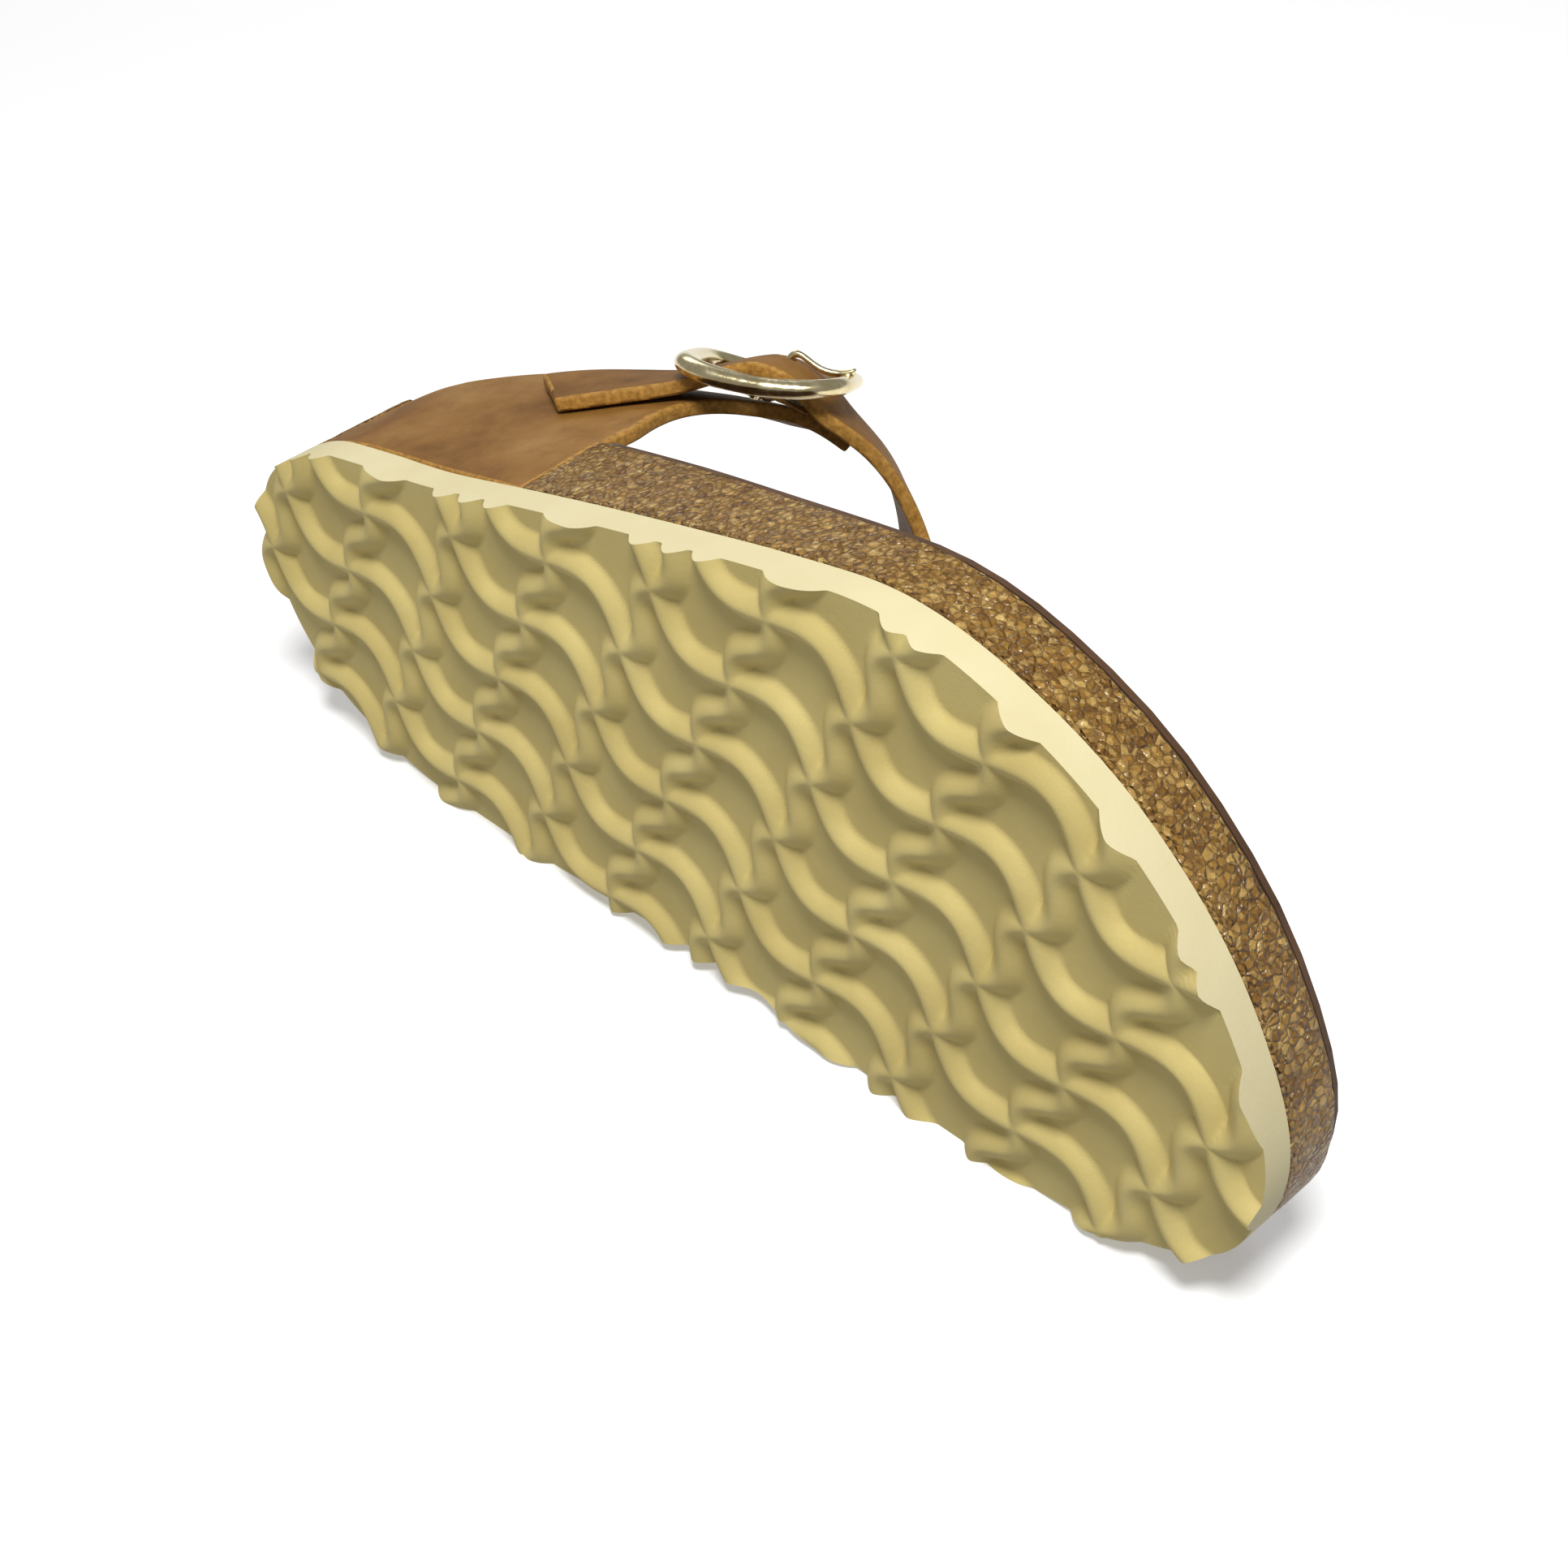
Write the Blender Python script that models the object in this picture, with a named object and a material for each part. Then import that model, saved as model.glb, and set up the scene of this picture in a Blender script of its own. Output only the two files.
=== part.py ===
"""Cork footbed sandal, one right shoe, lying on its inner side.

The shoe is modelled standing: +X runs from heel to toe, +Y points to the inner side
of the foot and +Z up, with the tread on z = 0. Tables give sideways places as
distances towards the outer side of the foot. All tables are in millimetres. One empty
lays the finished shoe on its inner side.
"""

from bisect import bisect_right
from math import atan2, cos, pi, radians, sin, tau

import bmesh
import bpy
from mathutils import Matrix, Vector

MM = 0.001

# Driving sizes of the shoe, in millimetres.
GAP = 0.3
SOLE_THICK = 8.0
RIB_PITCH = 20.0
RIB_HEIGHT = 2.4
RIB_HALF_TOP = 1.5
RIB_HALF_FOOT = 3.6
RIB_WAVE = 5.8
LINK_WAVE = 2.0
TREAD_TURN = radians(-30.0)
TREAD_START = (-123.0, 145.0)
LINING_THICK = 1.4
RIM_WIDTH = 3.5
LEATHER = 2.8
TOE_POST_X = 196.0
TOE_POST_HALF = 4.0
FLAT_SPOT = 0.3

# Outline of the sole, from the heel round the outer side to the toe and back.
OUTLINE = [
    # x, towards the outer side
    (0.0, 3.0),
    (6.2, 18.6),
    (22.8, 30.6),
    (40.0, 35.6),
    (60.0, 39.8),
    (80.0, 45.4),
    (100.0, 51.0),
    (125.0, 57.6),
    (152.8, 64.4),
    (174.0, 67.9),
    (194.0, 64.8),
    (216.0, 54.6),
    (234.0, 37.0),
    (245.0, 15.0),
    (246.6, -2.0),
    (240.0, -17.0),
    (224.0, -27.0),
    (204.0, -31.6),
    (180.0, -33.0),
    (160.0, -32.4),
    (140.0, -30.8),
    (120.0, -32.0),
    (89.0, -35.0),
    (68.0, -36.8),
    (49.0, -37.2),
    (32.0, -34.8),
    (15.0, -28.2),
    (3.4, -14.6),
]

# The two places where the inner edge of the sole meets the floor.
HEEL_CONTACT = (49.0, -37.2)
BALL_CONTACT = (180.0, -33.0)

# Height of the footbed above the floor, lining included, with the shoe standing.
FOOTBED = [
    # x, outer rim, inner rim, middle of the bed, width of the slope
    (0.0, 31.0, 31.0, 21.0, 20.0),
    (25.0, 31.0, 31.5, 19.5, 22.0),
    (50.0, 30.8, 33.0, 19.5, 22.0),
    (86.0, 28.6, 34.5, 21.5, 22.0),
    (110.0, 26.8, 33.0, 22.0, 22.0),
    (140.0, 23.8, 27.0, 20.5, 18.0),
    (170.0, 21.8, 22.4, 17.8, 12.0),
    (200.0, 21.2, 21.2, 18.2, 10.0),
    (225.0, 20.6, 20.6, 17.6, 10.0),
    (247.0, 20.6, 20.6, 17.6, 10.0),
]
TOE_BAR = {"x": 205.0, "rise": 1.3, "length": 11.0}

# The last over the footbed: an upright wall, then an arch over the foot.
LAST = [
    # x, crest height, crest place towards the outer side, shoulder in from the sole's edge
    (0.0, 72.0, 0.0, 0.0),
    (40.0, 76.0, 0.0, 0.0),
    (60.0, 79.0, 0.0, 0.0),
    (75.0, 82.0, 0.0, 0.0),
    (90.0, 84.5, 1.0, 1.5),
    (100.0, 80.5, 1.5, 5.0),
    (110.0, 75.5, 2.0, 9.0),
    (130.0, 64.0, 3.0, 19.0),
    (160.0, 47.5, 4.0, 34.0),
]
LAST_WALL = 26.0
LAST_POWER = 2.3

# Straps are bands on the last. Places round it are degrees from the outer side wall over
# the crest to the inner side wall, and each degree under 0 or over 180 is 1 mm down a wall.
# Lift is the outer face's height over the last.
WALL_FOOT = SOLE_THICK + GAP - LAST_WALL
OUTER_WING = [
    # rear x, rear round, front x, front round, lift
    (15.0, WALL_FOOT, 81.5, WALL_FOOT, 0.0),
    (17.5, -8.0, 81.0, -9.0, 0.0),
    (20.0, 3.0, 80.5, 1.0, 0.0),
    (25.0, 9.0, 81.0, 5.8, 0.0),
    (30.0, 13.5, 79.5, 11.0, 0.0),
    (35.0, 20.0, 78.5, 17.5, 0.0),
    (40.0, 27.0, 79.5, 25.0, 0.0),
    (46.5, 33.0, 83.0, 31.0, 0.0),
    (55.0, 38.0, 88.0, 35.5, 0.0),
    (64.5, 43.0, 92.0, 40.5, 0.0),
    (73.5, 47.5, 95.0, 46.0, 0.0),
    (80.5, 52.0, 98.0, 51.0, 0.0),
]
MAIN_BAND = [
    # rear x, rear round, front x, front round, lift
    (47.0, 13.0, 61.0, 5.0, 3.3),
    (51.5, 19.0, 66.0, 8.5, 3.4),
    (56.0, 24.0, 70.0, 12.0, 3.4),
    (61.5, 28.7, 73.8, 15.3, 3.5),
    (67.6, 32.9, 77.0, 19.3, 3.9),
    (75.2, 36.3, 82.8, 21.8, 6.2),
    (82.6, 40.9, 89.6, 24.7, 8.9),
    (87.4, 45.4, 94.0, 29.4, 7.6),
    (90.8, 50.5, 97.8, 34.3, 4.4),
    (93.5, 56.5, 101.0, 39.5, 3.4),
    (96.0, 63.0, 104.0, 46.0, 3.0),
    (98.0, 70.0, 107.5, 53.0, 2.4),
    (99.5, 77.5, 111.5, 61.0, 1.6),
    (100.5, 85.0, 115.0, 72.0, 1.0),
    (101.0, 92.0, 117.5, 82.0, 0.6),
    (100.0, 98.0, 118.0, 91.0, 0.3),
    (97.0, 104.0, 116.0, 100.0, 0.2),
    (91.0, 111.0, 112.0, 109.0, 0.0),
    (84.0, 120.0, 105.5, 119.0, 0.0),
    (76.0, 128.5, 99.0, 127.5, 0.0),
    (67.0, 137.0, 93.5, 136.0, 0.5),
    (57.5, 145.5, 89.0, 144.5, 1.2),
    (47.0, 154.0, 86.0, 153.0, 2.0),
    (36.0, 162.0, 84.0, 161.5, 2.6),
    (26.0, 169.0, 83.5, 169.0, 2.8),
    (18.5, 175.0, 83.5, 175.0, 2.6),
    (16.5, 180.0, 84.0, 180.0, 1.5),
    (16.0, 180.0 - WALL_FOOT, 83.0, 180.0 - WALL_FOOT, 0.0),
]
BUCKLE_ROW = 6
THONG_ROWS = (13, 17)
THONG = [
    # x, towards the outer side, height, half width, edges lower than the middle
    (126.0, 2.5, 66.2, 8.0, 1.2),
    (136.0, 3.0, 60.8, 6.8, 1.0),
    (148.0, 2.8, 54.2, 6.0, 0.7),
    (162.0, 2.0, 46.6, 5.4, 0.5),
    (178.0, 1.2, 38.5, 4.8, 0.3),
    (188.0, 0.6, 32.4, 4.4, 0.2),
    (193.6, 0.2, 27.8, 4.1, 0.1),
    (TOE_POST_X, 0.0, 22.5, TOE_POST_HALF, 0.0),
    (TOE_POST_X + 0.3, 0.0, 13.0, TOE_POST_HALF, 0.0),
]

# The buckle lies flat over the outer wing. Its place is on the middle line of the band.
BUCKLE = {"half_length": 14.4, "half_width": 13.0, "power": 3.8, "aside": 1.2}
FRAME_LIFT = 5.8
FRAME_SAG = 1.7
BAR_LIFT = 2.7
FRAME_WIRE = 1.8
FRAME_FLAT = 0.74
BAR_RADIUS = 0.9
PRONG_WIRE = 0.7
TAB_WIDTH = 12.0
TAB_THICK = 0.8


def spline(rows, parts, closed=False):
    """Points on a smooth curve through the rows, with parts steps from each row to the next."""
    count = len(rows)
    spans = count if closed else count - 1
    curve = []
    for span in range(spans):
        if closed:
            ends = [rows[(span + step) % count] for step in (-1, 0, 1, 2)]
        else:
            ends = [rows[min(max(span + step, 0), count - 1)] for step in (-1, 0, 1, 2)]
        for part in range(parts):
            t = part / parts
            weights = (
                -0.5 * t + t * t - 0.5 * t**3,
                1 - 2.5 * t * t + 1.5 * t**3,
                0.5 * t + 2 * t * t - 1.5 * t**3,
                -0.5 * t * t + 0.5 * t**3,
            )
            curve.append(tuple(sum(w * value for w, value in zip(weights, values)) for values in zip(*ends)))
    if not closed:
        curve.append(tuple(rows[-1]))
    return curve


def look_up(rows, x):
    """The row's values at x, between the two rows on each side of it."""
    place = bisect_right([row[0] for row in rows], x)
    place = min(max(place, 1), len(rows) - 1)
    low, high = rows[place - 1], rows[place]
    t = min(max((x - low[0]) / (high[0] - low[0]), 0.0), 1.0)
    return tuple(a + (b - a) * t for a, b in zip(low, high))[1:]


def smooth(t):
    t = min(max(t, 0.0), 1.0)
    return t * t * (3 - 2 * t)


LEAN = atan2(BALL_CONTACT[1] - HEEL_CONTACT[1], BALL_CONTACT[0] - HEEL_CONTACT[0])


def floor_side(x):
    """Place of the floor towards the outer side, below the lying shoe."""
    slope = (BALL_CONTACT[1] - HEEL_CONTACT[1]) / (BALL_CONTACT[0] - HEEL_CONTACT[0])
    return HEEL_CONTACT[1] + FLAT_SPOT + (x - HEEL_CONTACT[0]) * slope


SOLE_EDGE = [(x, max(side, floor_side(x))) for x, side in spline(OUTLINE, 3, closed=True)]
TOE_END = max(range(len(SOLE_EDGE)), key=lambda number: SOLE_EDGE[number][0])
HEEL_END = min(range(len(SOLE_EDGE)), key=lambda number: SOLE_EDGE[number][0])
OUTER_EDGE = SOLE_EDGE[HEEL_END : TOE_END + 1] if HEEL_END < TOE_END else SOLE_EDGE[: TOE_END + 1]
INNER_EDGE = SOLE_EDGE[: TOE_END - 1 : -1]


def shoe(x, side, z):
    """A place given in millimetres, in Blender's metres on the standing shoe."""
    return Vector((x, -side, z)) * MM


def last_place(x, turn):
    """The last's place (x, side, z) at a length x and a number of degrees round it."""
    crest, crest_side, shoulder = look_up(LAST, x)
    if turn <= 90.0:
        wall = look_up(OUTER_EDGE, x)[0] - shoulder
    else:
        wall = look_up(INNER_EDGE, x)[0]
    angle = radians(min(max(turn, 0.0), 180.0))
    over = abs(cos(angle)) ** (2 / LAST_POWER)
    up = abs(sin(angle)) ** (2 / LAST_POWER)
    down = min(turn, 0.0) + min(180.0 - turn, 0.0)
    side = crest_side + (wall - crest_side) * over
    return Vector((x, side, LAST_WALL + (crest - LAST_WALL) * up + down))


def last_normal(x, turn):
    """The direction out of the last, as (x, side, z)."""
    along = last_place(x + 2, turn) - last_place(x - 2, turn)
    if turn <= 0.0 or turn >= 180.0:
        round_it = Vector((0.0, 0.0, 1.0)) if turn <= 0.0 else Vector((0.0, 0.0, -1.0))
    else:
        round_it = last_place(x, turn + 0.5) - last_place(x, turn - 0.5)
    return round_it.cross(along).normalized()


def material(name, colour, roughness, metallic=0.0):
    made = bpy.data.materials.new(name)
    made.use_nodes = True
    shader = made.node_tree.nodes["Principled BSDF"]
    shader.inputs["Base Color"].default_value = (*colour, 1.0)
    shader.inputs["Roughness"].default_value = roughness
    shader.inputs["Metallic"].default_value = metallic
    return made


def add_object(name, shape, finish, folder, smooth_under=40.0):
    """Makes an object of the bmesh shape, laid down with the rest of the shoe."""
    mesh = bpy.data.meshes.new(name)
    shape.to_mesh(mesh)
    shape.free()
    mesh.shade_smooth()
    mesh.set_sharp_from_angle(angle=radians(smooth_under))
    made = bpy.data.objects.new(name, mesh)
    if finish:
        mesh.materials.append(finish)
    folder.objects.link(made)
    made.parent = LYING
    return made


def add_cutter(name, shape):
    made = add_object(name, shape, None, CUTTERS)
    made.hide_render = True
    made.display_type = "WIRE"
    return made


def boolean(target, cutter, operation="DIFFERENCE"):
    step = target.modifiers.new(f"{operation.lower()} {cutter.name}", "BOOLEAN")
    step.operation = operation
    step.solver = "EXACT"
    step.object = cutter


def ring_faces(shape, low, high):
    """Joins two rings of as many points with a band of faces."""
    for number in range(len(low)):
        after = (number + 1) % len(low)
        shape.faces.new((low[number], low[after], high[after], high[number]))


def stack(rings):
    """A closed solid from rings of points, each capped at its end."""
    shape = bmesh.new()
    loops = [[shape.verts.new(point) for point in ring] for ring in rings]
    for low, high in zip(loops, loops[1:]):
        ring_faces(shape, low, high)
    ends = [shape.faces.new(loops[0]), shape.faces.new(loops[-1])]
    bmesh.ops.triangulate(shape, faces=ends)
    bmesh.ops.recalc_face_normals(shape, faces=shape.faces)
    return shape


def tread_place(along, across):
    """Where a place on the waved rib lattice lies on the sole, as (x, side)."""
    u = along - cos(pi * along) * sin(tau * across) * LINK_WAVE / RIB_PITCH
    v = across + sin(pi * along) * RIB_WAVE / RIB_PITCH
    u = u * RIB_PITCH - TREAD_START[0]
    v = v * RIB_PITCH - TREAD_START[1]
    x = u * cos(TREAD_TURN) + v * sin(TREAD_TURN)
    side = u * sin(TREAD_TURN) - v * cos(TREAD_TURN)
    return x, side


def inside_sole(x, side, margin):
    """Whether a place is on the sole, or within a margin outside its edge."""
    if not -margin < x < OUTER_EDGE[-1][0] + margin:
        return False
    held = min(max(x, 1.0), OUTER_EDGE[-1][0] - 1.0)
    return look_up(INNER_EDGE, held)[0] - margin < side < look_up(OUTER_EDGE, held)[0] + margin


def panel_loop(column, row, inset, z):
    """The rim of one tread panel between four ribs, in from the ribs' middle lines."""
    near, far = inset / RIB_PITCH, 1 - inset / RIB_PITCH
    steps = 3
    path = [(near + (far - near) * step / steps, near) for step in range(steps)]
    path += [(far, near + (far - near) * step / steps) for step in range(steps)]
    path += [(far - (far - near) * step / steps, far) for step in range(steps)]
    path += [(near, far - (far - near) * step / steps) for step in range(steps)]
    return [shoe(*tread_place(column + a, row + b), z) for a, b in path]


def tread_panels():
    """One cutter for all the panels between the ribs, each with sloping sides."""
    shape = bmesh.new()
    columns = range(-8, 9)
    for column in columns:
        for row in range(-2, 10):
            x, side = tread_place(column + 0.5, row + 0.5)
            if not inside_sole(x, side, 0.55 * RIB_PITCH):
                continue
            below = RIB_HALF_TOP - (RIB_HALF_FOOT - RIB_HALF_TOP) * 0.5
            low = [shape.verts.new(p) for p in panel_loop(column, row, below, -RIB_HEIGHT * 0.5)]
            high = [shape.verts.new(p) for p in panel_loop(column, row, RIB_HALF_FOOT, RIB_HEIGHT)]
            ring_faces(shape, low, high)
            shape.faces.new(low)
            shape.faces.new(high)
    bmesh.ops.recalc_face_normals(shape, faces=shape.faces)
    return shape


def make_outsole():
    rings = [[shoe(x, side, z) for x, side in SOLE_EDGE] for z in (0.0, SOLE_THICK)]
    sole = add_object("outsole", stack(rings), material("EVA foam", (0.66, 0.58, 0.33), 0.62), PARTS)
    boolean(sole, add_cutter("tread panel cutter", tread_panels()))


def bed_height(x, side, inset):
    """Height of the lining's face at a distance in from the edge."""
    outer, inner, middle, slope = look_up(FOOTBED, x)
    outer_edge = look_up(OUTER_EDGE, x)[0]
    inner_edge = look_up(INNER_EDGE, x)[0]
    across = smooth((side - inner_edge) / max(outer_edge - inner_edge, 1.0))
    rim = inner + (outer - inner) * across
    bar = TOE_BAR["rise"] * 2.7 ** -(((x - TOE_BAR["x"]) / TOE_BAR["length"]) ** 2)
    return rim + (middle + bar - rim) * smooth((inset - RIM_WIDTH) / slope)


def bed_ring(inset, drop):
    """A ring round the footbed's top at a distance in from its edge, below the lining's face."""
    ring = []
    for x, side in SOLE_EDGE:
        spine_x = min(max(x, 38.0), 205.0)
        edges = look_up(OUTER_EDGE, spine_x)[0], look_up(INNER_EDGE, spine_x)[0]
        spine = Vector((spine_x, sum(edges) / 2))
        inward = spine - Vector((x, side))
        reach = min(inset, inward.length * 0.93)
        place = Vector((x, side)) + inward.normalized() * reach
        ring.append(shoe(*place, bed_height(*place, reach) - drop))
    return ring


BED_INSETS = (3.5, 9.5, 16.0, 26.0)


def make_footbed():
    """The cork block under the lining."""
    drop = LINING_THICK + GAP
    wall = [[shoe(x, side, z) for x, side in SOLE_EDGE] for z in (SOLE_THICK + GAP,)]
    wall.append(bed_ring(0.0, drop + 0.8))
    rings = wall + [bed_ring(inset, drop) for inset in (0.9, *BED_INSETS)]
    finish = material("cork", (0.36, 0.20, 0.08), 0.45)
    cork = add_object("cork_footbed", stack(rings), finish, PARTS, 55.0)
    upper_and_lower = [bed_ring(inset, LINING_THICK) for inset in reversed((0.9, *BED_INSETS))]
    upper_and_lower += [bed_ring(inset, 0.0) for inset in (1.3, *BED_INSETS)]
    finish = material("footbed suede", (0.11, 0.055, 0.03), 0.85)
    lining = add_object("footbed_lining", stack(upper_and_lower), finish, PARTS, 55.0)
    for name, rows in (("outer wing room", OUTER_WING[:7]), ("inner wing room", MAIN_BAND[-6:])):
        room = add_cutter(name, wing_room(rows))
        boolean(cork, room)
        boolean(lining, room)
    slot = add_cutter("toe post slot", post_slot())
    boolean(cork, slot)
    boolean(lining, slot)


def wing_room(rows):
    """The space that a wing takes from the footbed's side, with a gap all round it."""
    wider = []
    for rear_x, rear_turn, front_x, front_turn, lift in rows:
        below = 1.5 * ((rear_turn > 180.0) - (rear_turn < 0.0))
        wider.append((rear_x - 3 * GAP, rear_turn + below, front_x + 2 * GAP, front_turn + below, lift))
    proud = 3.0
    grid = [[(place + out * proud, out) for place, out in row] for row in band_grid(wider, 2, 7)]
    return sheet_solid(grid, LEATHER + 2 * GAP + proud)


def post_slot():
    shape = bmesh.new()
    bmesh.ops.create_cube(shape, size=1.0)
    size = Vector((LEATHER + 2 * GAP + 0.6, 2 * TOE_POST_HALF + 2 * GAP, 20.0)) * MM
    place = shoe(TOE_POST_X - LEATHER / 2 + 0.1, 0.0, 12.7 + 10.0)
    bmesh.ops.transform(shape, matrix=Matrix.LocRotScale(place, None, size), verts=shape.verts)
    return shape


def band_point(row, across):
    """A place on a band's outer face, across it from its rear edge (0) to its front edge (1)."""
    rear_x, rear_turn, front_x, front_turn, lift = row
    x = rear_x + (front_x - rear_x) * across
    turn = rear_turn + (front_turn - rear_turn) * across
    out = last_normal(x, turn)
    place = last_place(x, turn) + out * lift
    if turn > 90.0 and place.y < floor_side(place.x):
        place.y = floor_side(place.x)
    return place, out


def band_grid(rows, parts, columns):
    """Rows of (place, outward direction) over a band."""
    return [
        [band_point(row, column / columns) for column in range(columns + 1)]
        for row in spline(rows, parts)
    ]


def sheet_solid(grid, thick, extra=None):
    """A leather sheet under a grid of outer places, as one closed solid.

    The extra grid is a branch whose first row lies on the main grid's front edge: it is
    a list of rows, and a pair that gives the rows of the main grid where it starts and ends.
    """
    shape = bmesh.new()

    def layer(points, depth):
        return [
            [shape.verts.new(shoe(*(place - out * depth))) for place, out in row] for row in points
        ]

    outer, inner = layer(grid, 0.0), layer(grid, thick)
    patches = [(outer, inner)]
    if extra:
        branch, first, last = extra
        branch_outer, branch_inner = layer(branch, 0.0), layer(branch, thick)
        root_outer = [row[-1] for row in outer[first : last + 1]]
        root_inner = [row[-1] for row in inner[first : last + 1]]
        patches.append(([root_outer] + branch_outer, [root_inner] + branch_inner))
    for top, bottom in patches:
        for row, following in zip(range(len(top)), range(1, len(top))):
            for column in range(len(top[0]) - 1):
                after = column + 1
                shape.faces.new((top[row][column], top[row][after], top[following][after], top[following][column]))
                shape.faces.new((bottom[row][column], bottom[following][column], bottom[following][after], bottom[row][after]))
    pair = {a: b for a, b in zip(sum(outer, []), sum(inner, []))}
    if extra:
        pair.update(zip(sum(branch_outer, []), sum(branch_inner, [])))
    shape.verts.ensure_lookup_table()
    open_edges = [edge for edge in shape.edges if edge.is_boundary and edge.verts[0] in pair and edge.verts[1] in pair]
    for edge in open_edges:
        a, b = edge.verts
        shape.faces.new((a, b, pair[b], pair[a]))
    bmesh.ops.recalc_face_normals(shape, faces=shape.faces)
    return shape


def thong_grid(columns):
    """The thong's rows of (place, outward direction), from the instep down to the toe post."""
    rows = spline(THONG, 2)
    grid = []
    for number, (x, side, z, half, arch) in enumerate(rows):
        before = rows[max(number - 1, 0)]
        after = rows[min(number + 1, len(rows) - 1)]
        ahead = Vector((after[0] - before[0], after[1] - before[1], after[2] - before[2]))
        out = Vector((-ahead.z, 0.0, ahead.x)).normalized()
        line = []
        for column in range(columns + 1):
            across = 1 - 2 * column / columns
            place = Vector((x, side + half * across, z)) - out * (arch * across * across)
            lean = Vector((0.0, 1.0, 0.0)) * (2 * arch * across / half)
            line.append((place, (out + lean).normalized()))
        grid.append(line)
    return grid


def make_straps(finish):
    add_object("lateral_strap", sheet_solid(band_grid(OUTER_WING, 2, 7), LEATHER), finish, PARTS)
    parts = 2
    root = [row * parts for row in THONG_ROWS]
    band = band_grid(MAIN_BAND, parts, 6)
    thong = thong_grid(root[1] - root[0])
    strap = add_object("main_strap", sheet_solid(band, LEATHER, (thong, *root)), finish, PARTS)
    hole = bmesh.new()
    bmesh.ops.create_cone(
        hole, cap_ends=True, segments=12, radius1=1.5 * MM, radius2=1.5 * MM, depth=9 * MM
    )
    turn = Matrix.Rotation(radians(12.0), 4, "Y")
    matrix = BUCKLE_SPACE @ Matrix.Translation(Vector((2.8, 0.0, 7.6)) * MM) @ turn
    bmesh.ops.transform(hole, matrix=matrix, verts=hole.verts)
    boolean(strap, add_cutter("prong hole cutter", hole))


def strap_middle(number):
    """The place under the middle line of the main band and the way out of the last there."""
    rear_x, rear_turn, front_x, front_turn, _ = look_up(
        [(index, *row) for index, row in enumerate(MAIN_BAND)], number
    )
    x, turn = (rear_x + front_x) / 2, (rear_turn + front_turn) / 2
    return last_place(x, turn), last_normal(x, turn)


def buckle_space():
    """The buckle's own axes: along the strap, across it and out of it, on the last."""
    origin, out = strap_middle(BUCKLE_ROW)
    along = (strap_middle(BUCKLE_ROW + 1)[0] - strap_middle(BUCKLE_ROW - 1)[0]).normalized()
    out = (out - along * out.dot(along)).normalized()
    to_shoe = Matrix.Diagonal((1.0, -1.0, 1.0))
    along, out = to_shoe @ along, to_shoe @ out
    across = out.cross(along)
    space = Matrix((along, across, out)).transposed().to_4x4()
    space.translation = (to_shoe @ origin + across * BUCKLE["aside"]) * MM
    return space


def wire(name, points, radius, closed=False, rounds=2):
    """A round wire through the points, as a mesh."""
    curve = bpy.data.curves.new(name, "CURVE")
    curve.dimensions = "3D"
    curve.bevel_depth = radius * MM
    curve.bevel_resolution = rounds
    curve.use_fill_caps = True
    line = curve.splines.new("POLY")
    line.points.add(len(points) - 1)
    for point, place in zip(line.points, points):
        point.co = (*(Vector(place) * MM), 1.0)
    line.use_cyclic_u = closed
    guide = bpy.data.objects.new(name, curve)
    CUTTERS.objects.link(guide)
    bpy.context.view_layer.update()
    graph = bpy.context.evaluated_depsgraph_get()
    mesh = bpy.data.meshes.new_from_object(guide.evaluated_get(graph))
    bpy.data.objects.remove(guide)
    shape = bmesh.new()
    shape.from_mesh(mesh)
    bmesh.ops.remove_doubles(shape, verts=shape.verts, dist=1e-6)
    return shape


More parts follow.
